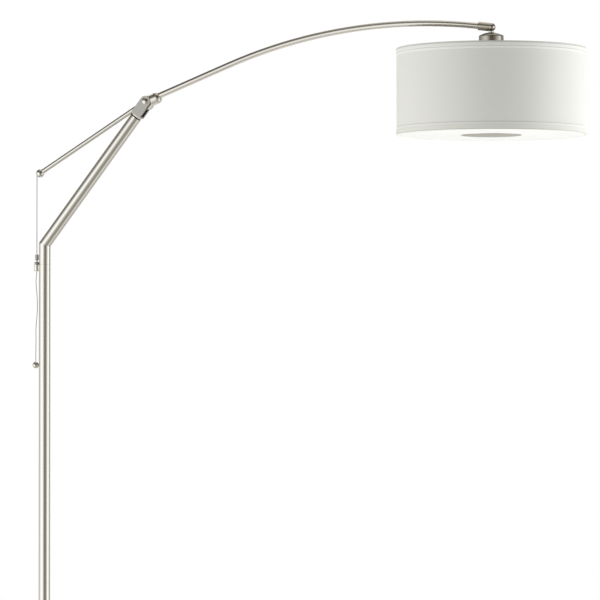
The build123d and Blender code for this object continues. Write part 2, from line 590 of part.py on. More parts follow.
def trim(edge_z, inward):
    """Folded tape over one edge of the drum: a tall layer, a short layer on it and an inner lip."""
    inner = SHADE_BORE - FIXED_FIT
    outer = SHADE_R + FIXED_FIT
    near = edge_z - inward * FIXED_FIT
    far = near - inward * TRIM_T
    return turned([(inner, edge_z + inward * TRIM_LIP), (inner, near), (outer, near),
                   (outer, edge_z + inward * TRIM_H), (outer + TRIM_T, edge_z + inward * TRIM_H),
                   (outer + TRIM_T, edge_z + inward * TRIM_FOLD),
                   (outer + TRIM_T + TRIM_FOLD_T, edge_z + inward * TRIM_FOLD),
                   (outer + TRIM_T + TRIM_FOLD_T, far), (inner - TRIM_T, far),
                   (inner - TRIM_T, edge_z + inward * TRIM_LIP)])


parts["top_trim"] = head_axis * trim(SHADE_TOP, -1)
parts["bottom_trim"] = head_axis * trim(SHADE_BOTTOM, 1)
diffuser_top = DIFFUSER_Z + DIFFUSER_T
parts["bottom_ring"] = head_axis * Pos(0, 0, diffuser_top + RING_WIRE_R) * Torus(RING_R, RING_WIRE_R)
diffuser_r = SHADE_BORE - TRIM_T - DIFFUSER_GAP
boss_hole_r = PLATE_BOSS_R + BOSS_HOLE_GAP
parts["diffuser"] = head_axis * turned([(boss_hole_r, DIFFUSER_Z), (diffuser_r, DIFFUSER_Z),
                                        (diffuser_r, diffuser_top), (boss_hole_r, diffuser_top)])

# Stem nut, lamp cluster, lampholders and bulbs
stem_nut = Pos(0, 0, CLUSTER_TOP) * hexagon(STEM_NUT_ACROSS, STEM_NUT_T)
parts["stem_nut"] = head_axis * (stem_nut - Pos(0, 0, CLUSTER_TOP) * Cylinder(STEM_R + FIXED_FIT, STEM_NUT_T * 3))
cluster = Pos(0, 0, CLUSTER_BOTTOM) * Cylinder(CLUSTER_R, CLUSTER_H, align=FROM_END)
cluster = fillet(cluster.edges().filter_by(GeomType.CIRCLE), HOLDER_ROUND)
cluster -= Pos(0, 0, CLUSTER_TOP - STEM_IN_CLUSTER) * Cylinder(STEM_R + FIXED_FIT, CLUSTER_H, align=FROM_END)
cluster -= Pos(0, 0, CLUSTER_BOTTOM) * Cylinder(ROD_R + FIXED_FIT, ROD_IN_CLUSTER * 2)
side_frame = frame_at(at_height(HOLDER_Z), Vector(1, 0, 0))
stub_hole = Pos(0, 0, HOLDER_STUB_FROM) * Cylinder(HOLDER_STUB_R + FIXED_FIT, CLUSTER_R, align=FROM_END)
stub_hole = side_frame * stub_hole
holder = turned([(0, HOLDER_STUB_FROM), (HOLDER_STUB_R, HOLDER_STUB_FROM), (HOLDER_STUB_R, HOLDER_FROM),
                 (HOLDER_R - HOLDER_ROUND, HOLDER_FROM), (HOLDER_R, HOLDER_FROM + HOLDER_ROUND),
                 (HOLDER_R, HOLDER_TO), (HOLDER_CAVITY_R, HOLDER_TO),
                 (HOLDER_CAVITY_R, HOLDER_CAVITY_FROM), (0, HOLDER_CAVITY_FROM)])
bulb_cap = Pos(0, 0, BULB_CAP_FROM) * Cylinder(BULB_CAP_R, BULB_CAP_TO - BULB_CAP_FROM, align=FROM_END)


def glass_body(inset):
    taper_h = GLASS_TAPER_TO - BULB_CAP_TO
    taper = Cone(GLASS_NECK_R - inset, GLASS_TAPER_R - inset, taper_h, align=FROM_END)
    return Pos(0, 0, BULB_CAP_TO) * taper + Pos(0, 0, GLASS_CENTRE) * Sphere(GLASS_R - inset)


bulb_glass = glass_body(0) - glass_body(GLASS_T)
holder_turns = [Rot(0, 0, HOLDER_TURN + 360 / HOLDER_COUNT * index) for index in range(HOLDER_COUNT)]
for holder_turn in holder_turns:
    cluster -= holder_turn * stub_hole
parts["lamp_cluster"] = head_axis * cluster
for name, piece in [("lampholders", holder), ("bulb_caps", bulb_cap), ("bulb_glasses", bulb_glass)]:
    sideways = side_frame * piece
    placed = [head_axis * holder_turn * sideways for holder_turn in holder_turns]
    parts[name] = Compound(children=placed)

# Round plate under the diffuser and the rod that draws it up
plate = Pos(0, 0, PLATE_Z) * Cylinder(PLATE_R, PLATE_T, align=FROM_END)
plate = fillet(plate.edges().group_by(Axis.Z)[0], PLATE_ROUND)
boss = Pos(0, 0, PLATE_Z) * Cylinder(PLATE_BOSS_R, PLATE_T + PLATE_BOSS_RISE, align=FROM_END)
plate += boss - Pos(0, 0, DIFFUSER_Z) * Cylinder(ROD_R + FIXED_FIT, PLATE_BOSS_RISE * 2, align=FROM_END)
parts["diffuser_plate"] = head_axis * plate
rod_top = at_height(CLUSTER_BOTTOM + ROD_IN_CLUSTER - FIXED_FIT)
parts["diffuser_rod"] = head_axis * rod(at_height(DIFFUSER_Z + FIXED_FIT), rod_top, ROD_R)

for node, shape in parts.items():
    export_step(shape, "parts/" + node + ".step")
print("pivot", PIVOT, "pin", PIN, "wire exit", WIRE_EXIT, "rear ball", REAR_BALL)
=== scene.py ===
import math

import bmesh
import bpy
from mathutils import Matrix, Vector


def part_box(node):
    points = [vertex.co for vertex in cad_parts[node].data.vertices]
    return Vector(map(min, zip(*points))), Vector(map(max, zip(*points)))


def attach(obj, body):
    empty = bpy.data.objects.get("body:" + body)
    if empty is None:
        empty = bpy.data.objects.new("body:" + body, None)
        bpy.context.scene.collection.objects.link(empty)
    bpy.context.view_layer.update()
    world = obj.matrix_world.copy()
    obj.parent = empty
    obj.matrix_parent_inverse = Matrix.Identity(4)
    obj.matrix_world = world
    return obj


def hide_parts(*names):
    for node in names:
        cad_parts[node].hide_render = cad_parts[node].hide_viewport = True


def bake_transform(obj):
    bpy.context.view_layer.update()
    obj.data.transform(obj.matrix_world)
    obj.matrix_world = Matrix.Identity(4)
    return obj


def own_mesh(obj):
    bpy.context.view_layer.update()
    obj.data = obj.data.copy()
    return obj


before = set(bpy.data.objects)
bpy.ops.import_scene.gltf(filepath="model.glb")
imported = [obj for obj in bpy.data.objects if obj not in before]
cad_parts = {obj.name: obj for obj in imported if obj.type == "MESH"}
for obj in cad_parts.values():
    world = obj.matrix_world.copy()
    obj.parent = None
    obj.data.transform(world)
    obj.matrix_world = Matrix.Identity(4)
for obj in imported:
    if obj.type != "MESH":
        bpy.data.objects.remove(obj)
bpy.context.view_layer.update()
scene = bpy.context.scene

# Arc floor lamp in satin nickel with a white fabric drum shade. Metres, in the part's own frame.
MM = 0.001
drum_low, drum_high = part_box("shade_drum")
AXIS_X = (drum_low.x + drum_high.x) / 2
SHADE_R = (drum_high.x - drum_low.x) / 2
SHADE_BOTTOM = drum_low.z
SHADE_TOP = drum_high.z
SHADE_WALL = 1.2 * MM
ARC_CENTRE = (1.07444, 0, 0.62789)
ARC_R = 1.463
INCLINE_PITCH = 51.8
FRONT_PITCH = 21.0
REAR_PITCH = 31.25
TIP_PITCH = -7.2
BEND = Vector((0, 0, 1.508))
PIVOT = Vector((0.308277, 0, 1.89975))
PIN = Vector((1.30144, 0, 2.07394))
# Where the fork's painted highlight band and painted shadow band start, in mm from the pivot
COLLAR_HIGHLIGHT_FROM, GROOVE_SHADOW_FROM = 47.2, 50.5
POLISH_FROM = 0.5 * MM


def linear(hex_colour):
    """sRGB hex to linear RGBA."""
    parts = [int(hex_colour[i:i + 2], 16) / 255 for i in (1, 3, 5)]
    return [c / 12.92 if c <= 0.04045 else ((c + 0.055) / 1.055) ** 2.4 for c in parts] + [1.0]


def add(tree, kind, feeds=None, **settings):
    """Adds a node; feeds gives each named input a link or a value."""
    made = tree.nodes.new(kind)
    for key, value in settings.items():
        setattr(made, key, value)
    for key, value in (feeds or {}).items():
        if isinstance(value, bpy.types.NodeSocket):
            tree.links.new(value, made.inputs[key])
        else:
            made.inputs[key].default_value = value
    return made


def calc(tree, operation, *values):
    """Result of a sum on numbers."""
    return add(tree, "ShaderNodeMath", dict(enumerate(values)), operation=operation).outputs[0]


def vector(tree, operation, *values):
    """Result of a sum on vectors: a number where the sum gives one."""
    made = add(tree, "ShaderNodeVectorMath", dict(enumerate(values)), operation=operation)
    return made.outputs["Value" if operation in ("LENGTH", "DISTANCE", "DOT_PRODUCT") else "Vector"]


def times(tree, value, share):
    """A vector times a number."""
    return add(tree, "ShaderNodeVectorMath", {0: value, "Scale": share}, operation="SCALE").outputs["Vector"]


def parts_of(tree, value):
    """A vector's X, Y and Z."""
    return add(tree, "ShaderNodeSeparateXYZ", {0: value}).outputs


def noise(tree, place, scale=1.0, detail=2.0, roughness=0.5):
    feeds = {"Vector": place, "Scale": scale, "Detail": detail, "Roughness": roughness}
    return add(tree, "ShaderNodeTexNoise", feeds).outputs[0]


def scaled(tree, place, scale):
    return add(tree, "ShaderNodeMapping", {"Vector": place, "Scale": scale}).outputs[0]


def remap(tree, value, low=0.0, high=1.0, to_low=0.0, to_high=1.0, **settings):
    feeds = {"Value": value, "From Min": low, "From Max": high, "To Min": to_low, "To Max": to_high}
    return add(tree, "ShaderNodeMapRange", feeds, **settings).outputs[0]


def mixed(tree, share, first, second):
    """Colour between two colours."""
    return add(tree, "ShaderNodeMix", {0: share, 6: first, 7: second}, data_type="RGBA").outputs[2]


def object_place(tree):
    return add(tree, "ShaderNodeTexCoord").outputs["Object"]


def raised(tree, shader, height, strength, depth):
    """Joins a bump of a real depth to a shader."""
    feeds = {"Strength": strength, "Distance": depth, "Height": height}
    tree.links.new(add(tree, "ShaderNodeBump", feeds).outputs[0], shader.inputs["Normal"])


def finish_of(name, **sockets):
    """New material with a Principled shader whose constant sockets are set here."""
    made = bpy.data.materials.new(name)
    made.use_nodes = True
    shader = made.node_tree.nodes["Principled BSDF"]
    for key, value in sockets.items():
        shader.inputs[key.replace("_", " ")].default_value = value
    return made, made.node_tree, shader


# Brush marks: width along the tube, and how many there are per metre round it
MARK_W = 1.2 * MM
MARK_RATE = 18
GLOSS_PLAY = 0.02
CLOUD_RATE = 28.0
CLOUD_GLOSS = 0.03


def satin_nickel(name, pitch=90.0, arc=False, lathe_x=None, roughness=0.2, colour="#d6cfc2", metal=1.0):
    """Satin nickel plate on steel, brushed round the tube with abrasive cloth: fine rings across the
    length that soften reflections lengthwise, and a warm cast. Real marks are about 0.05 mm wide;
    they are drawn 1.2 mm wide so that they show."""
    made, tree, shader = finish_of(name, Metallic=metal)
    place = object_place(tree)
    if arc:
        apart = parts_of(tree, vector(tree, "SUBTRACT", place, ARC_CENTRE))
        along = calc(tree, "MULTIPLY", calc(tree, "ARCTAN2", apart["X"], apart["Z"]), ARC_R)
        place = add(tree, "ShaderNodeCombineXYZ", {"Y": apart["Y"], "Z": along}).outputs[0]
    elif lathe_x is not None:
        shifted = vector(tree, "SUBTRACT", place, (lathe_x, 0, 0))
        far = vector(tree, "LENGTH", vector(tree, "MULTIPLY", shifted, (1, 1, 0)))
        along = calc(tree, "ADD", far, parts_of(tree, shifted)["Z"])
        place = add(tree, "ShaderNodeCombineXYZ", {"Z": along}).outputs[0]
    else:
        turn = (0, math.radians(90 - pitch), 0)
        turned = add(tree, "ShaderNodeMapping", {"Vector": place, "Rotation": turn}, vector_type="TEXTURE")
        place = turned.outputs[0]
    brush = noise(tree, scaled(tree, place, (MARK_RATE, MARK_RATE, 1 / MARK_W)), detail=3.0, roughness=0.6)
    cloudy = noise(tree, place, CLOUD_RATE)
    shade = times(tree, linear(colour)[:3], remap(tree, brush, 0.3, 0.7, 0.975, 1.0))
    gloss = remap(tree, brush, to_low=roughness - GLOSS_PLAY, to_high=roughness + GLOSS_PLAY)
    gloss = calc(tree, "MULTIPLY_ADD", cloudy, CLOUD_GLOSS, gloss)
    tree.links.new(shade, shader.inputs["Base Color"])
    tree.links.new(gloss, shader.inputs["Roughness"])
    raised(tree, shader, brush, 0.06, 0.02 * MM)
    return made


def grained(name, light, dark, grain_mm, bump_mm, detail=4.0, stretch=(1, 1, 1), **sockets):
    """Finish with a speckle or grain of one real size, in two close colours."""
    made, tree, shader = finish_of(name, **sockets)
    place = scaled(tree, object_place(tree), [s / (grain_mm * MM) for s in stretch])
    grain = noise(tree, place, detail=detail)
    tone = mixed(tree, remap(tree, grain, 0.3, 0.7), linear(dark), linear(light))
    tree.links.new(tone, shader.inputs["Base Color"])
    raised(tree, shader, grain, 0.5, bump_mm * MM)
    return made


# Slubs in the cloth: thicker lengths of thread
SLUB_W = 1.1 * MM
SLUB_RUN = 45 * MM


def woven(name, light, dark, thread_mm, bump_mm, slub=0.5, **sockets):
    """Plain weave on the piece's own UV map, in metres: crossing threads that lie over and under,
    with thicker slubs along both. Threads are drawn about twice as thick as real so that they show."""
    made, tree, shader = finish_of(name, **sockets)
    flat = add(tree, "ShaderNodeUVMap", uv_map="UVMap").outputs[0]
    apart = parts_of(tree, scaled(tree, flat, [math.pi / (thread_mm * MM)] * 3))
    cross = calc(tree, "MULTIPLY", calc(tree, "SINE", apart["X"]), calc(tree, "SINE", apart["Y"]))
    over = calc(tree, "ABSOLUTE", cross)
    warp = noise(tree, scaled(tree, flat, (1 / SLUB_W, 1 / SLUB_RUN, 1)))
    weft = noise(tree, scaled(tree, flat, (1 / SLUB_RUN, 1 / SLUB_W, 1)))
    height = calc(tree, "MULTIPLY_ADD", calc(tree, "ADD", warp, weft), slub, over)
    tone = mixed(tree, remap(tree, height, high=1 + slub), linear(dark), linear(light))
    tree.links.new(tone, shader.inputs["Base Color"])
    raised(tree, shader, height, 0.35, bump_mm * MM)
    return made


# Nickel on each straight run, on the arc and on turned pieces
nickel_upright = satin_nickel("satin_nickel_upright")
nickel_incline = satin_nickel("satin_nickel_incline", INCLINE_PITCH, roughness=0.15)
nickel_hub = satin_nickel("satin_nickel_hub", FRONT_PITCH, roughness=0.27)
nickel_rear = satin_nickel("satin_nickel_rear", REAR_PITCH)
# The tip's copy is darker than the plain nickel, painted shade for the dark that it reflects; past the pin
# its end takes the lighter, shinier ball nickel
nickel_tip = satin_nickel("satin_nickel_tip", TIP_PITCH, roughness=0.3, colour="#c4bbab")
nickel_arc = satin_nickel("satin_nickel_arc", arc=True)
nickel_base = satin_nickel("satin_nickel_base", lathe_x=0.0, roughness=0.4, metal=0.6)
nickel_head = satin_nickel("satin_nickel_head", lathe_x=AXIS_X)
# The canopy's copy is darker still, painted shade for the dark that it reflects
nickel_canopy = satin_nickel("satin_nickel_canopy", lathe_x=AXIS_X, roughness=0.14, colour="#a69d8e")
nickel_ball = satin_nickel("polished_nickel_ball", roughness=0.14)
nickel_grip = satin_nickel("satin_nickel_grip", roughness=0.3, colour="#b1aba0")
nickel_body = satin_nickel("satin_nickel_body", roughness=0.34, colour="#e4ddd0")
# Fork milled flat and brushed along its length: an even grey sheen
nickel_fork = grained("brushed_nickel_fork", "#aca69b", "#a19b90", 1.4, 0.01, stretch=(1, 1, 0.4),
                      Metallic=1.0, Roughness=0.36)
# Black nickel: dark grey metal with soft highlights
gunmetal = grained("black_nickel", "#a8a094", "#989186", 0.8, 0.01, Metallic=1.0, Roughness=0.3)
# Bright zinc on pressed steel: bluish grey, faint spangle
zinc = grained("bright_zinc", "#c3c6c8", "#a7abae", 2.5, 0.02, Metallic=1.0, Roughness=0.33)
# Drawn steel wire: grey, each strand shiny along its crown; the taut lift wire takes a much darker copy of
# it, painted shade
wire_steel = grained("drawn_steel_wire", "#8a8783", "#7d7b77", 0.6, 0.005, Metallic=1.0, Roughness=0.5)
taut_steel = grained("painted_shade_steel_wire", "#43413f", "#383735", 0.6, 0.005, Metallic=1.0, Roughness=0.5)
# Sand-cast iron: near black, coarse grit
cast_iron = grained("sand_cast_iron", "#3c3b3a", "#262525", 1.2, 0.25, Metallic=0.4, Roughness=0.75)
# Needled wool felt: dark, fibrous, no shine
felt = grained("needled_felt", "#38383a", "#232325", 0.9, 0.4, detail=6.0, Roughness=0.95, Sheen_Weight=0.4)
# Moulded nitrile rubber: matt black
rubber = grained("moulded_rubber", "#252526", "#1b1b1c", 0.7, 0.03, Roughness=0.6)
# Turned nylon: translucent milky white
nylon = grained("turned_nylon", "#ece9e0", "#e0dcd2", 1.0, 0.02, Roughness=0.45)
# PVC lead sheath: white, slightly waxy
sheath = grained("pvc_sheath", "#e6e5df", "#dad9d2", 1.6, 0.02, Roughness=0.4)
# Stove enamel on wire: white with slight orange peel
enamel = grained("white_stove_enamel", "#efefec", "#e4e4e0", 1.5, 0.03, Roughness=0.32)
# Glazed porcelain: white, glassy coat
porcelain = grained("glazed_porcelain", "#f1efe9", "#e8e5dd", 3.0, 0.01, Roughness=0.18, Coat_Weight=0.5)
# Rolled brass shell: yellow, dulled
brass = grained("rolled_brass", "#cdb068", "#b99a52", 1.2, 0.02, Metallic=1.0, Roughness=0.32)
# Etched lamp glass: white inside coating
lamp_glass = grained("etched_lamp_glass", "#f5f4ef", "#ecebe5", 1.0, 0.01, Roughness=0.35, Coat_Weight=0.3)
# Opal acrylic sheet: milky, satin face, light spreads inside it
opal = grained("opal_acrylic", "#f8f8f5", "#f3f3ef", 4.0, 0.005, Roughness=0.3, Subsurface_Weight=0.3,
               Subsurface_Radius=[4 * MM] * 3, Subsurface_Scale=1.0)
# Cotton-linen fabric laminated on a clear sheet, and its bias tape
drum_fabric = woven("laminated_linen", "#f1f1ea", "#e9e9e1", 0.9, 0.12, Roughness=0.85, Sheen_Weight=0.15)
tape = woven("bias_tape", "#f8f8f3", "#f0f0ea", 0.7, 0.1, Roughness=0.85, Sheen_Weight=0.15)
# Copies of the same tape: a darker one for the bottom trim's plain rows is painted shade, a lighter one is a
# painted highlight, and the darkest is painted shade in the crease and at the rim
tape_painted_shade_bottom = woven("bias_tape_painted_shade_bottom", "#efefe7", "#e6e6dd", 0.7, 0.1, Roughness=0.85, Sheen_Weight=0.15)
tape_painted_highlight = woven("bias_tape_painted_highlight", "#fcfcf8", "#f5f5f0", 0.7, 0.1, Roughness=0.85, Sheen_Weight=0.15)
tape_painted_shade = woven("bias_tape_painted_shade", "#dcdcd3", "#d2d2c8", 0.7, 0.1, Roughness=0.9)
# Styrene lining inside the drum: smooth white
lining = grained("styrene_lining", "#fbfbf8", "#f6f6f2", 3.0, 0.01, Roughness=0.45)

finishes = {
    nickel_upright: ["pole_lower", "pole_middle", "pole_upper"],
    nickel_base: ["base_cover", "pole_foot"],
    nickel_fork: ["fork"],
    nickel_hub: ["boom_hub"],
    nickel_rear: ["rear_arm"],
    nickel_arc: ["arc_arm"],
    nickel_tip: ["tip_ferrule"],
    nickel_head: ["stem", "diffuser_plate"],
    nickel_canopy: ["canopy"],
    nickel_ball: ["rear_ball", "pull_ball", "pivot_bolt", "pivot_nut", "tip_pin"],
    nickel_grip: ["gripper_plunger", "gripper_stud"],
    nickel_body: ["gripper_body"],
    gunmetal: ["gripper_cap"],
    zinc: ["coupler_lower", "coupler_upper", "base_washer", "base_nut", "stem_nut", "diffuser_rod",
           "gripper_balls", "gripper_spring", "wire_stop", "lamp_cluster"],
    wire_steel: ["lift_wire_upper", "lift_wire_lower", "tail_wire"],
    cast_iron: ["base_weight"],
    felt: ["base_pad"],
    rubber: ["cord_grommet"],
    nylon: ["pivot_discs"],
    sheath: ["pole_lead", "boom_lead"],
    enamel: ["shade_frame", "bottom_ring"],
    drum_fabric: ["shade_drum"],
    tape: ["top_trim", "bottom_trim"],
    opal: ["diffuser"],
    porcelain: ["lampholders"],
    brass: ["bulb_caps"],
    lamp_glass: ["bulb_glasses"],
}
for coat, nodes in finishes.items():
    for node in nodes:
        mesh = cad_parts[node].data
        mesh.materials.clear()
        mesh.materials.append(coat)


def pitched(pitch):
    """Direction in the lamp's upright plane."""
    return Vector((math.cos(math.radians(pitch)), 0, math.sin(math.radians(pitch))))


def bands_along(coat, start, pitch, bands):
    """Gives a coat other colours past distances along a pitched direction.
    bands lists (distance in mm, colour, roughness) outwards from the start."""
    tree = coat.node_tree
    shader = tree.nodes["Principled BSDF"]
    shifted = vector(tree, "SUBTRACT", object_place(tree), start)
    along = vector(tree, "DOT_PRODUCT", shifted, pitched(pitch))
    tone = shader.inputs["Base Color"].links[0].from_socket
    gloss = shader.inputs["Roughness"].default_value
    for far, colour, roughness in bands:
        past = calc(tree, "GREATER_THAN", along, far * MM)
        tone = mixed(tree, past, tone, linear(colour))
        gloss = add(tree, "ShaderNodeMix", {0: past, 2: gloss, 3: roughness}).outputs[0]
    tree.links.new(tone, shader.inputs["Base Color"])
    tree.links.new(gloss, shader.inputs["Roughness"])


def coat_past(node, start, pitch, coat):
    """Gives the faces of a piece that lie past a point along a pitched direction another coat."""
    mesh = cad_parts[node].data
    ahead = pitched(pitch)
    mesh.materials.append(coat)
    for face in mesh.polygons:
        if (face.center - start).dot(ahead) > 0:
            face.material_index = len(mesh.materials) - 1


# Fork's plated collar painted near white, a painted highlight, and the spigot below it painted near black, a
# painted shadow in the groove between fork and pole
bands_along(nickel_fork, PIVOT, INCLINE_PITCH + 180, [
    (COLLAR_HIGHLIGHT_FROM, "#fff5e6", 0.5), (GROOVE_SHADOW_FROM, "#0d0c0c", 0.5)])
# Polished end of the tip past the pin, and the brushing of the pole past its bend
coat_past("tip_ferrule", PIN + pitched(TIP_PITCH) * POLISH_FROM, TIP_PITCH, nickel_ball)
coat_past("pole_upper", BEND, INCLINE_PITCH, nickel_incline)


def placed(name, data):
    """New object at the origin, in the scene."""
    made = bpy.data.objects.new(name, data)
    scene.collection.objects.link(made)
    return made


def piece_of(name, points, faces, coats, uvs=None, coat_index=None):
    """Mesh object at the origin, with a UV per face corner where the pattern follows the surface."""
    mesh = bpy.data.meshes.new(name)
    mesh.from_pydata(points, [], faces)
    for coat in coats:
        mesh.materials.append(coat)
    if coat_index:
        mesh.polygons.foreach_set("material_index", coat_index)
    if uvs:
        layer = mesh.uv_layers.new(name="UVMap")
        for loop, uv in zip(layer.data, uvs):
            loop.uv = uv
    mesh.polygons.foreach_set("use_smooth", [True] * len(faces))
    mesh.update()
    return placed(name, mesh)


def turned_cloth(name, loop, coats, coat_rows, swell=None, steps=288):
    """Closed ring of cloth round the shade's axis. loop is its (radius, height) section, counter-clockwise
    as seen with the axis on the left; coat_rows gives each row's coat; swell adds to the radius."""
    points, faces, uvs, index = [], [], [], []
    rows = len(loop)
    run = [0.0]
    for (r0, z0), (r1, z1) in zip(loop, loop[1:] + loop[:1]):
        run.append(run[-1] + math.hypot(r1 - r0, z1 - z0))
    for step in range(steps):
        turn = 2 * math.pi * step / steps
        for row, (radius, z) in enumerate(loop):
            r = radius + (swell(turn, row) if swell else 0.0)
            points.append((AXIS_X + r * math.cos(turn), r * math.sin(turn), z))
    for step in range(steps):
        for row in range(rows):
            nxt, up = (step + 1) % steps, (row + 1) % rows
            faces.append((step * rows + row, nxt * rows + row, nxt * rows + up, step * rows + up))
            u0, u1 = 2 * math.pi * SHADE_R * step / steps, 2 * math.pi * SHADE_R * (step + 1) / steps
            uvs += [(u0, run[row]), (u1, run[row]), (u1, run[row + 1]), (u0, run[row + 1])]
            index.append(coat_rows[row])
    return piece_of(name, points, faces, coats, uvs, index)


# Drum wall: linen outside, styrene lining inside, with the glued lap at the back
SEAM_TURN = math.radians(107)
LAP_W = 12 * MM
LAP_T = 0.4 * MM
LAP_EDGE = 2.5 * MM
WAVE = 0.12 * MM
WALL_ROWS = 24


def lap(turn):
    """Thickness of the second layer of cloth at the glued lap, with a soft edge."""
    apart = abs((turn - SEAM_TURN + math.pi) % (2 * math.pi) - math.pi) * SHADE_R
    return LAP_T * max(0.0, min(1.0, (LAP_W - apart) / LAP_EDGE))


height_step = (SHADE_TOP - SHADE_BOTTOM) / WALL_ROWS
outside = [(SHADE_R, SHADE_BOTTOM + height_step * i) for i in range(WALL_ROWS + 1)]
inside = [(SHADE_R - SHADE_WALL, z) for _, z in reversed(outside)]


def drum_swell(turn, row):
    """The lap, and the very slight waviness of cloth stretched between two rings."""
    if row > WALL_ROWS:
        return 0.0
    wave = WAVE * math.sin(turn * 9 + 1.3) * math.sin(math.pi * row / WALL_ROWS)
    return lap(turn) * 0.9 + wave


drum = turned_cloth("linen_drum", outside + inside, [drum_fabric, lining],
                    [0] * WALL_ROWS + [1] * (WALL_ROWS + 2), drum_swell)
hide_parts("shade_drum")
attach(drum, "head")


def bias_tape(name, edge_z, inward, coats, outer):
    """Folded tape over one edge of the drum. outer lists the outside face from the tape's far edge to the
    rim as (distance from the drum's edge, thickness, coat), all in mm; a lip goes back inside."""
    glue, layer, rim, lip, fold, dip = 0.06 * MM, 0.5 * MM, 0.55 * MM, 8.0 * MM, 0.2 * MM, 0.1 * MM
    skin = SHADE_R + glue
    bore = SHADE_R - SHADE_WALL - glue
    section = [(skin, 0.0), (skin, outer[0][0] * MM)]
    section += [(skin + thick * MM, far * MM) for far, thick, _ in outer]
    section += [(skin + fold, -rim), (bore - fold, -rim), (bore - layer, -dip)]
    section += [(bore - layer, lip), (bore, lip), (bore, 0.0)]
    coat_rows = [0, 0] + [coat for _, _, coat in outer] + [0] * 6
    loop = [(r, edge_z + inward * z) for r, z in section]
    if inward > 0:
        loop.reverse()
        coat_rows = coat_rows[-2::-1] + coat_rows[-1:]

    def pucker(turn, row):
        radius = loop[row][0]
        if radius <= SHADE_R:
            return 0.0
        ripple = 0.05 * MM * math.sin(turn * 61) + 0.04 * MM * math.sin(turn * 23 + 0.7)
        return lap(turn) + (ripple if radius > SHADE_R + 0.3 * MM else 0.0)

    made = turned_cloth(name + "_cloth", loop, coats, coat_rows, pucker, 360)
    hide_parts(name)
    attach(made, "head")


# Rows in plain tape, a lighter copy as a painted highlight on the band near the tape's far edge, and a darker
# copy as painted shade in the crease and at the rim; the bottom trim's plain rows take a darker copy, painted
# shade
PLAIN, PAINTED_HIGHLIGHT, PAINTED_SHADE = 0, 1, 2
bias_tape("top_trim", SHADE_TOP, -1, [tape, tape_painted_highlight, tape_painted_shade], [
    (18.4, 0.35, PAINTED_HIGHLIGHT), (17.9, 0.5, PAINTED_HIGHLIGHT), (13.4, 0.55, PAINTED_SHADE), (11.8, 0.3, PAINTED_SHADE), (11.5, 0.8, PLAIN),
    (10.8, 0.95, PLAIN), (9.0, 0.85, PLAIN), (4.0, 0.85, PAINTED_SHADE), (1.2, 0.9, PAINTED_SHADE), (-0.2, 0.7, PAINTED_SHADE)])
bias_tape("bottom_trim", SHADE_BOTTOM, 1, [tape_painted_shade_bottom, tape, tape_painted_shade], [
    (20.4, 0.3, PAINTED_SHADE), (19.2, 0.5, PAINTED_HIGHLIGHT), (17.8, 0.7, PAINTED_HIGHLIGHT), (14.0, 0.6, PLAIN), (12.8, 0.85, PLAIN),
    (10.5, 0.85, PLAIN), (2.6, 0.85, PAINTED_SHADE), (0.8, 0.9, PAINTED_SHADE), (-0.2, 0.7, PAINTED_SHADE)])


def strand_tree(coat):
    """Geometry nodes that lay round strands and a core strand along a curve."""
    tree = bpy.data.node_groups.new("rope_strands", "GeometryNodeTree")
    face = tree.interface
    face.new_socket("Geometry", in_out="INPUT", socket_type="NodeSocketGeometry")
    sizes = {"Lay": 8 * MM, "Strand radius": 0.3 * MM, "Ring radius": 0.6 * MM, "Step": 0.9 * MM}
    for label, value in sizes.items():
        face.new_socket(label, in_out="INPUT", socket_type="NodeSocketFloat").default_value = value
    face.new_socket("Strands", in_out="INPUT", socket_type="NodeSocketInt").default_value = 6
    face.new_socket("Geometry", in_out="OUTPUT", socket_type="NodeSocketGeometry")
    given = add(tree, "NodeGroupInput").outputs
    line = {"Curve": given["Geometry"], "Length": given["Step"]}
    even = add(tree, "GeometryNodeResampleCurve", line, mode="LENGTH").outputs[0]
    amount = {"Geometry": even, "Amount": given["Strands"]}
    copies = add(tree, "GeometryNodeDuplicateElements", amount, domain="SPLINE").outputs
    laid = calc(tree, "DIVIDE", add(tree, "GeometryNodeSplineParameter").outputs["Length"], given["Lay"])
    share = calc(tree, "DIVIDE", copies["Duplicate Index"], given["Strands"])
    angle = calc(tree, "MULTIPLY", calc(tree, "ADD", laid, share), 2 * math.pi)
    normal = add(tree, "GeometryNodeInputNormal").outputs[0]
    tangent = add(tree, "GeometryNodeInputTangent").outputs[0]
    swung = add(tree, "ShaderNodeVectorRotate", {"Vector": normal, "Axis": tangent, "Angle": angle})
    offset = times(tree, swung.outputs[0], given["Ring radius"])
    moved = add(tree, "GeometryNodeSetPosition", {"Geometry": copies["Geometry"], "Offset": offset})
    section = {"Resolution": 7, "Radius": given["Strand radius"]}
    round_wire = add(tree, "GeometryNodeCurvePrimitiveCircle", section).outputs[0]
    joined = add(tree, "GeometryNodeJoinGeometry")
    for run in (even, moved.outputs[0]):
        ends = {"Curve": run, "Profile Curve": round_wire, "Fill Caps": True}
        tree.links.new(add(tree, "GeometryNodeCurveToMesh", ends).outputs[0], joined.inputs[0])
    smooth = add(tree, "GeometryNodeSetShadeSmooth", {"Geometry": joined.outputs[0]}).outputs[0]
    solid = add(tree, "GeometryNodeRealizeInstances", {"Geometry": smooth}).outputs[0]
    coated = add(tree, "GeometryNodeSetMaterial", {"Geometry": solid, "Material": coat}).outputs[0]
    add(tree, "NodeGroupOutput", {"Geometry": coated})
    return tree


def mesh_from(guide):
    """A curve's mesh with its modifiers as they stand."""
    bpy.context.view_layer.update()
    return bpy.data.meshes.new_from_object(guide.evaluated_get(bpy.context.evaluated_depsgraph_get()))


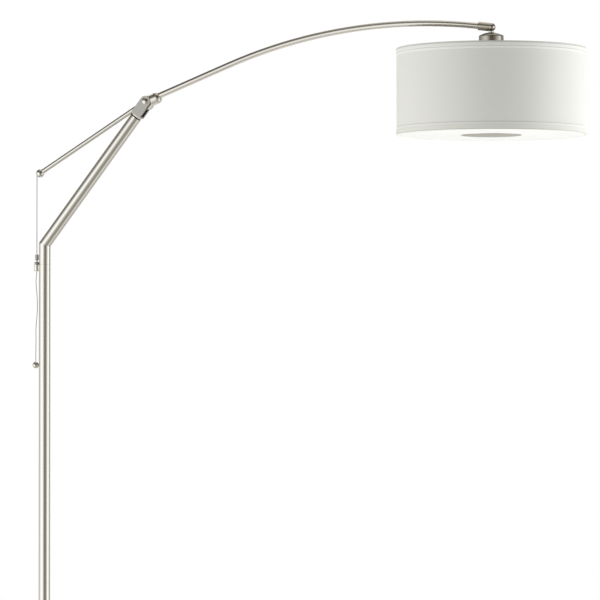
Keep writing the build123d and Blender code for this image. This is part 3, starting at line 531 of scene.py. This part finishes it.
def wire_rope(name, route, coat):
    """Stranded wire along a smooth NURBS route: returns the mesh and the points that it follows."""
    line = bpy.data.curves.new(name + "_line", "CURVE")
    line.dimensions = "3D"
    line.resolution_u = 16
    spline = line.splines.new("NURBS")
    spline.points.add(len(route) - 1)
    for point, (x, y, z) in zip(spline.points, route):
        point.co = (x, y, z, 1)
    spline.order_u = 3
    spline.use_endpoint_u = True
    guide = placed(name + "_guide", line)
    path = [tuple(v.co) for v in mesh_from(guide).vertices]
    guide.modifiers.new("strands", "NODES").node_group = strand_tree(coat)
    mesh = mesh_from(guide)
    bpy.data.objects.remove(guide)
    mesh.name = name
    return placed(name, mesh), path


# Lift wire, taut between the rear ball's mouth and the gripper's tip, where it goes in by the tip's stroke
WIRE_X = -24.0 * MM
TIP_TOP = 1480.0 * MM
STROKE = 3.0 * MM
SPARE = 0.6 * MM
WIRE_END = TIP_TOP - STROKE - SPARE
BALL_MOUTH = 1701.4 * MM
STRAIGHT = 11.0 * MM
lift_route = [BALL_MOUTH, BALL_MOUTH - STRAIGHT, WIRE_END + STRAIGHT, WIRE_END]
# Its coat is the darker copy of the wire, painted shade
lift_wire, lift_path = wire_rope("lift_wire", [(WIRE_X, 0, z) for z in lift_route], taut_steel)
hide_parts("lift_wire_upper", "lift_wire_lower")
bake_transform(lift_wire)

# Free tail under the gripper, with the set left in it by coiling, down to the pull ball
tail_route = [(-24.0, 1434.0), (-25.6, 1421.0), (-27.0, 1400.0), (-23.6, 1371.0), (-22.1, 1334.0),
              (-23.8, 1303.0), (-26.9, 1276.0), (-26.3, 1247.0), (-26.9, 1215.0), (-27.0, 1175.55)]
tail, tail_path = wire_rope("tail_wire_rope", [(x * MM, 0, z * MM) for x, z in tail_route], wire_steel)
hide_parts("tail_wire")
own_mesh(tail)
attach(tail, "stand")

# Gripper's spring, as its own copy in the stand's body; on the lamp it shortens by the stroke when the tip is
# pressed
spring = placed("gripper_coil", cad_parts["gripper_spring"].data.copy())
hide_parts("gripper_spring")
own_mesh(spring)
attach(spring, "stand")


# Camera at the photograph's height, 20 degrees round towards the shade, pitched up a little
YAW = math.radians(20)
PITCH = math.radians(0.975)
FOCAL_PX = 3584.0
PHOTO_PX = 600
EYE = Vector((4.0896, -9.1533, 1.183))
ahead = Vector((-math.sin(YAW) * math.cos(PITCH), math.cos(YAW) * math.cos(PITCH), math.sin(PITCH)))
camera = placed("camera", bpy.data.cameras.new("camera"))
camera.location = EYE
camera.rotation_euler = ahead.to_track_quat("-Z", "Y").to_euler()
camera.data.sensor_width = 36.0
camera.data.lens = FOCAL_PX / PHOTO_PX * camera.data.sensor_width
camera.data.clip_end = 100.0
scene.camera = camera


def bare_tree(owner):
    """A world's or material's node tree, emptied."""
    owner.use_nodes = True
    owner.node_tree.nodes.clear()
    return owner.node_tree


def seen_directly(tree):
    """1 for rays from the camera, off gloss or through glass, else 0."""
    rays = add(tree, "ShaderNodeLightPath").outputs
    seen = calc(tree, "MAXIMUM", rays["Is Camera Ray"], rays["Is Glossy Ray"])
    return calc(tree, "MAXIMUM", seen, rays["Is Transmission Ray"])


# Studio: a white world, a pale round floor, two side softboxes, a low one and a tent that only gloss sees
FILL = 0.42
WHITE = (1, 1, 1, 1)
scene.view_settings.view_transform = "Standard"
scene.world = bpy.data.worlds.new("white_studio")
sky = bare_tree(scene.world)
fill = add(sky, "ShaderNodeBackground", {"Color": WHITE, "Strength": FILL})
white = add(sky, "ShaderNodeBackground", {"Color": WHITE, "Strength": 1.0})
both = add(sky, "ShaderNodeMixShader", {0: seen_directly(sky), 1: fill.outputs[0], 2: white.outputs[0]})
add(sky, "ShaderNodeOutputWorld", {"Surface": both.outputs[0]})

TO_CAMERA = Vector((math.sin(YAW), -math.cos(YAW), 0))
TO_RIGHT = Vector((math.cos(YAW), math.sin(YAW), 0))
HEART = Vector((0.75, 0.0, 1.55))


def around(angle, distance, height):
    """Point round the lamp: angle 0 is towards the camera, 90 to its right."""
    a = math.radians(angle)
    spot = HEART + (TO_CAMERA * math.cos(a) + TO_RIGHT * math.sin(a)) * distance
    return Vector((spot.x, spot.y, height))


def softbox(name, spot, aim, wide, tall, radiance, tint=(1, 1, 1)):
    """Rectangular lamp of an even brightness, turned to a point."""
    lamp = bpy.data.lights.new(name, "AREA")
    lamp.shape = "RECTANGLE"
    lamp.color = tint
    lamp.size, lamp.size_y = wide, tall
    lamp.energy = radiance * math.pi * wide * tall
    made = placed(name, lamp)
    made.location = spot
    made.rotation_euler = (aim - spot).to_track_quat("-Z", "Y").to_euler()
    made.visible_camera = False
    made.visible_glossy = False


softbox("left_softbox", around(-79, 5.0, 1.7), HEART, 3.6, 4.0, 2.75)
softbox("right_softbox", around(91, 5.0, 1.7), HEART, 3.6, 4.0, 3.75, (0.98, 0.98, 1.0))
softbox("low_softbox", Vector((AXIS_X, -0.3, 0.25)), Vector((AXIS_X, -0.3, 2.0)), 1.6, 1.6, 2.75)

# What the metal mirrors: bright panels left and right, a dark gap round the camera, a dark roof that
# is paler behind the lamp, and a grey floor. AROUND and BEHIND go by degrees round the lamp, 0 towards
# the camera and 90 to its right; UPWARD and SIDES_HOLD go by degrees above the level.
TENT_R = 8.0
AROUND = [
    (-180, 0.28), (-150, 0.5), (-125, 0.62), (-112, 0.85), (-95, 1.1), (-80, 1.4), (-60, 1.65),
    (-45, 1.55), (-35, 1.25), (-25, 0.9), (-15, 0.52), (-7, 0.3), (5, 0.23), (15, 0.24), (25, 0.36),
    (38, 0.6), (50, 0.95), (62, 1.35), (76, 1.75), (92, 1.9), (98, 1.2), (104, 0.5), (115, 0.42),
    (125, 0.6), (138, 0.85), (155, 0.6), (180, 0.28)]
UPWARD = [
    (-90, 0.62), (-70, 0.62), (-50, 0.75), (-35, 0.9), (-20, 1.0), (-8, 1.0), (6, 0.97), (13, 0.76),
    (18, 0.46), (26, 0.22), (36, 0.11), (50, 0.13), (58, 0.24), (64, 0.45), (78, 0.6), (90, 0.65)]
SIDES_HOLD = [
    (-90, 0.0), (-70, 0.5), (-50, 1.3), (-35, 1.45), (-22, 1.7), (-12, 2.0), (40, 2.0), (60, 0.6),
    (90, 0.0)]
BEHIND = [(-180, 1.5), (-162, 1.5), (-148, 0.0), (148, 0.0), (162, 1.5), (180, 1.5)]


def angle_ramp(tree, angle, stops, dark=(1, 1, 1), bright=(1, 1, 1), turning=(0.2, 1.4)):
    """Brightness by angle, stored at half scale: angle runs 0 to 1 over the stops, and the tint goes
    from dark to bright between two levels."""
    made = add(tree, "ShaderNodeValToRGB", {"Fac": angle})
    span = stops[-1][0] - stops[0][0]
    keys = made.color_ramp.elements
    while len(keys) < len(stops):
        keys.new(1.0)
    for key, (degrees, level) in zip(keys, stops):
        share = min(1.0, max(0.0, (level - turning[0]) / (turning[1] - turning[0])))
        key.position = (degrees - stops[0][0]) / span
        key.color = [level / 2 * (d + (b - d) * share) for d, b in zip(dark, bright)] + [1]
    return made.outputs["Color"]


tent_mesh = bpy.data.meshes.new("reflection_tent")
shell = bmesh.new()
bmesh.ops.create_uvsphere(shell, u_segments=48, v_segments=24, radius=TENT_R)
shell.to_mesh(tent_mesh)
shell.free()
tent_coat = bpy.data.materials.new("reflection_tent")
tree = bare_tree(tent_coat)
apart = parts_of(tree, object_place(tree))
turn = calc(tree, "ARCTAN2", apart["X"], calc(tree, "MULTIPLY", apart["Y"], -1.0))
turn = calc(tree, "MULTIPLY_ADD", turn, 0.5 / math.pi, 0.5)
rise = calc(tree, "ARCSINE", calc(tree, "DIVIDE", apart["Z"], TENT_R))
rise = calc(tree, "MULTIPLY_ADD", rise, 1 / math.pi, 0.5)
hold = angle_ramp(tree, rise, SIDES_HOLD)
panels = angle_ramp(tree, turn, AROUND, (1, 0.985, 0.905), (1, 1.075, 1.2), (0.2, 1.6))
roof = angle_ramp(tree, rise, UPWARD, (1, 0.93, 0.77), turning=(0.14, 0.65))
roof = vector(tree, "MAXIMUM", roof, angle_ramp(tree, turn, BEHIND))
sides = mixed(tree, hold, (0.5, 0.5, 0.5, 1), panels)
glow = add(tree, "ShaderNodeEmission", {"Color": vector(tree, "MULTIPLY", sides, roof), "Strength": 4.0})
add(tree, "ShaderNodeOutputMaterial", {"Surface": glow.outputs[0]})
tent_mesh.materials.append(tent_coat)
tent = placed("reflection_tent", tent_mesh)
tent.location = HEART
tent.rotation_euler = (0, 0, YAW)
tent.visible_camera = False
tent.visible_diffuse = False
tent.visible_shadow = False
tent.visible_transmission = False

# Floor: matt white paper that fades out at its rim, lifted where it is seen directly
FLOOR_R = 3.6
FLOOR_SIDES = 96
FADE_FROM, FADE_TO = 0.62 * FLOOR_R, 0.98 * FLOOR_R
LIFT = 0.36
floor_mesh = bpy.data.meshes.new("studio_floor")
turns = [2 * math.pi * i / FLOOR_SIDES for i in range(FLOOR_SIDES)]
ring = [(HEART.x + FLOOR_R * math.cos(turn), FLOOR_R * math.sin(turn), 0) for turn in turns]
floor_mesh.from_pydata(ring, [], [tuple(range(FLOOR_SIDES))])
floor = placed("studio_floor", floor_mesh)
floor.visible_glossy = False
paper = bpy.data.materials.new("white_paper_floor")
sheet = bare_tree(paper)
apart = vector(sheet, "DISTANCE", object_place(sheet), (HEART.x, 0, 0))
fade = remap(sheet, apart, FADE_FROM, FADE_TO, interpolation_type="SMOOTHSTEP")
matt = add(sheet, "ShaderNodeBsdfDiffuse", {"Color": linear("#ececea")})
glow = add(sheet, "ShaderNodeEmission", {"Strength": calc(sheet, "MULTIPLY", seen_directly(sheet), LIFT)})
lit = add(sheet, "ShaderNodeAddShader", {0: matt.outputs[0], 1: glow.outputs[0]})
clear = add(sheet, "ShaderNodeBsdfTransparent")
both = add(sheet, "ShaderNodeMixShader", {0: fade, 1: lit.outputs[0], 2: clear.outputs[0]})
add(sheet, "ShaderNodeOutputMaterial", {"Surface": both.outputs[0]})
floor_mesh.materials.append(paper)
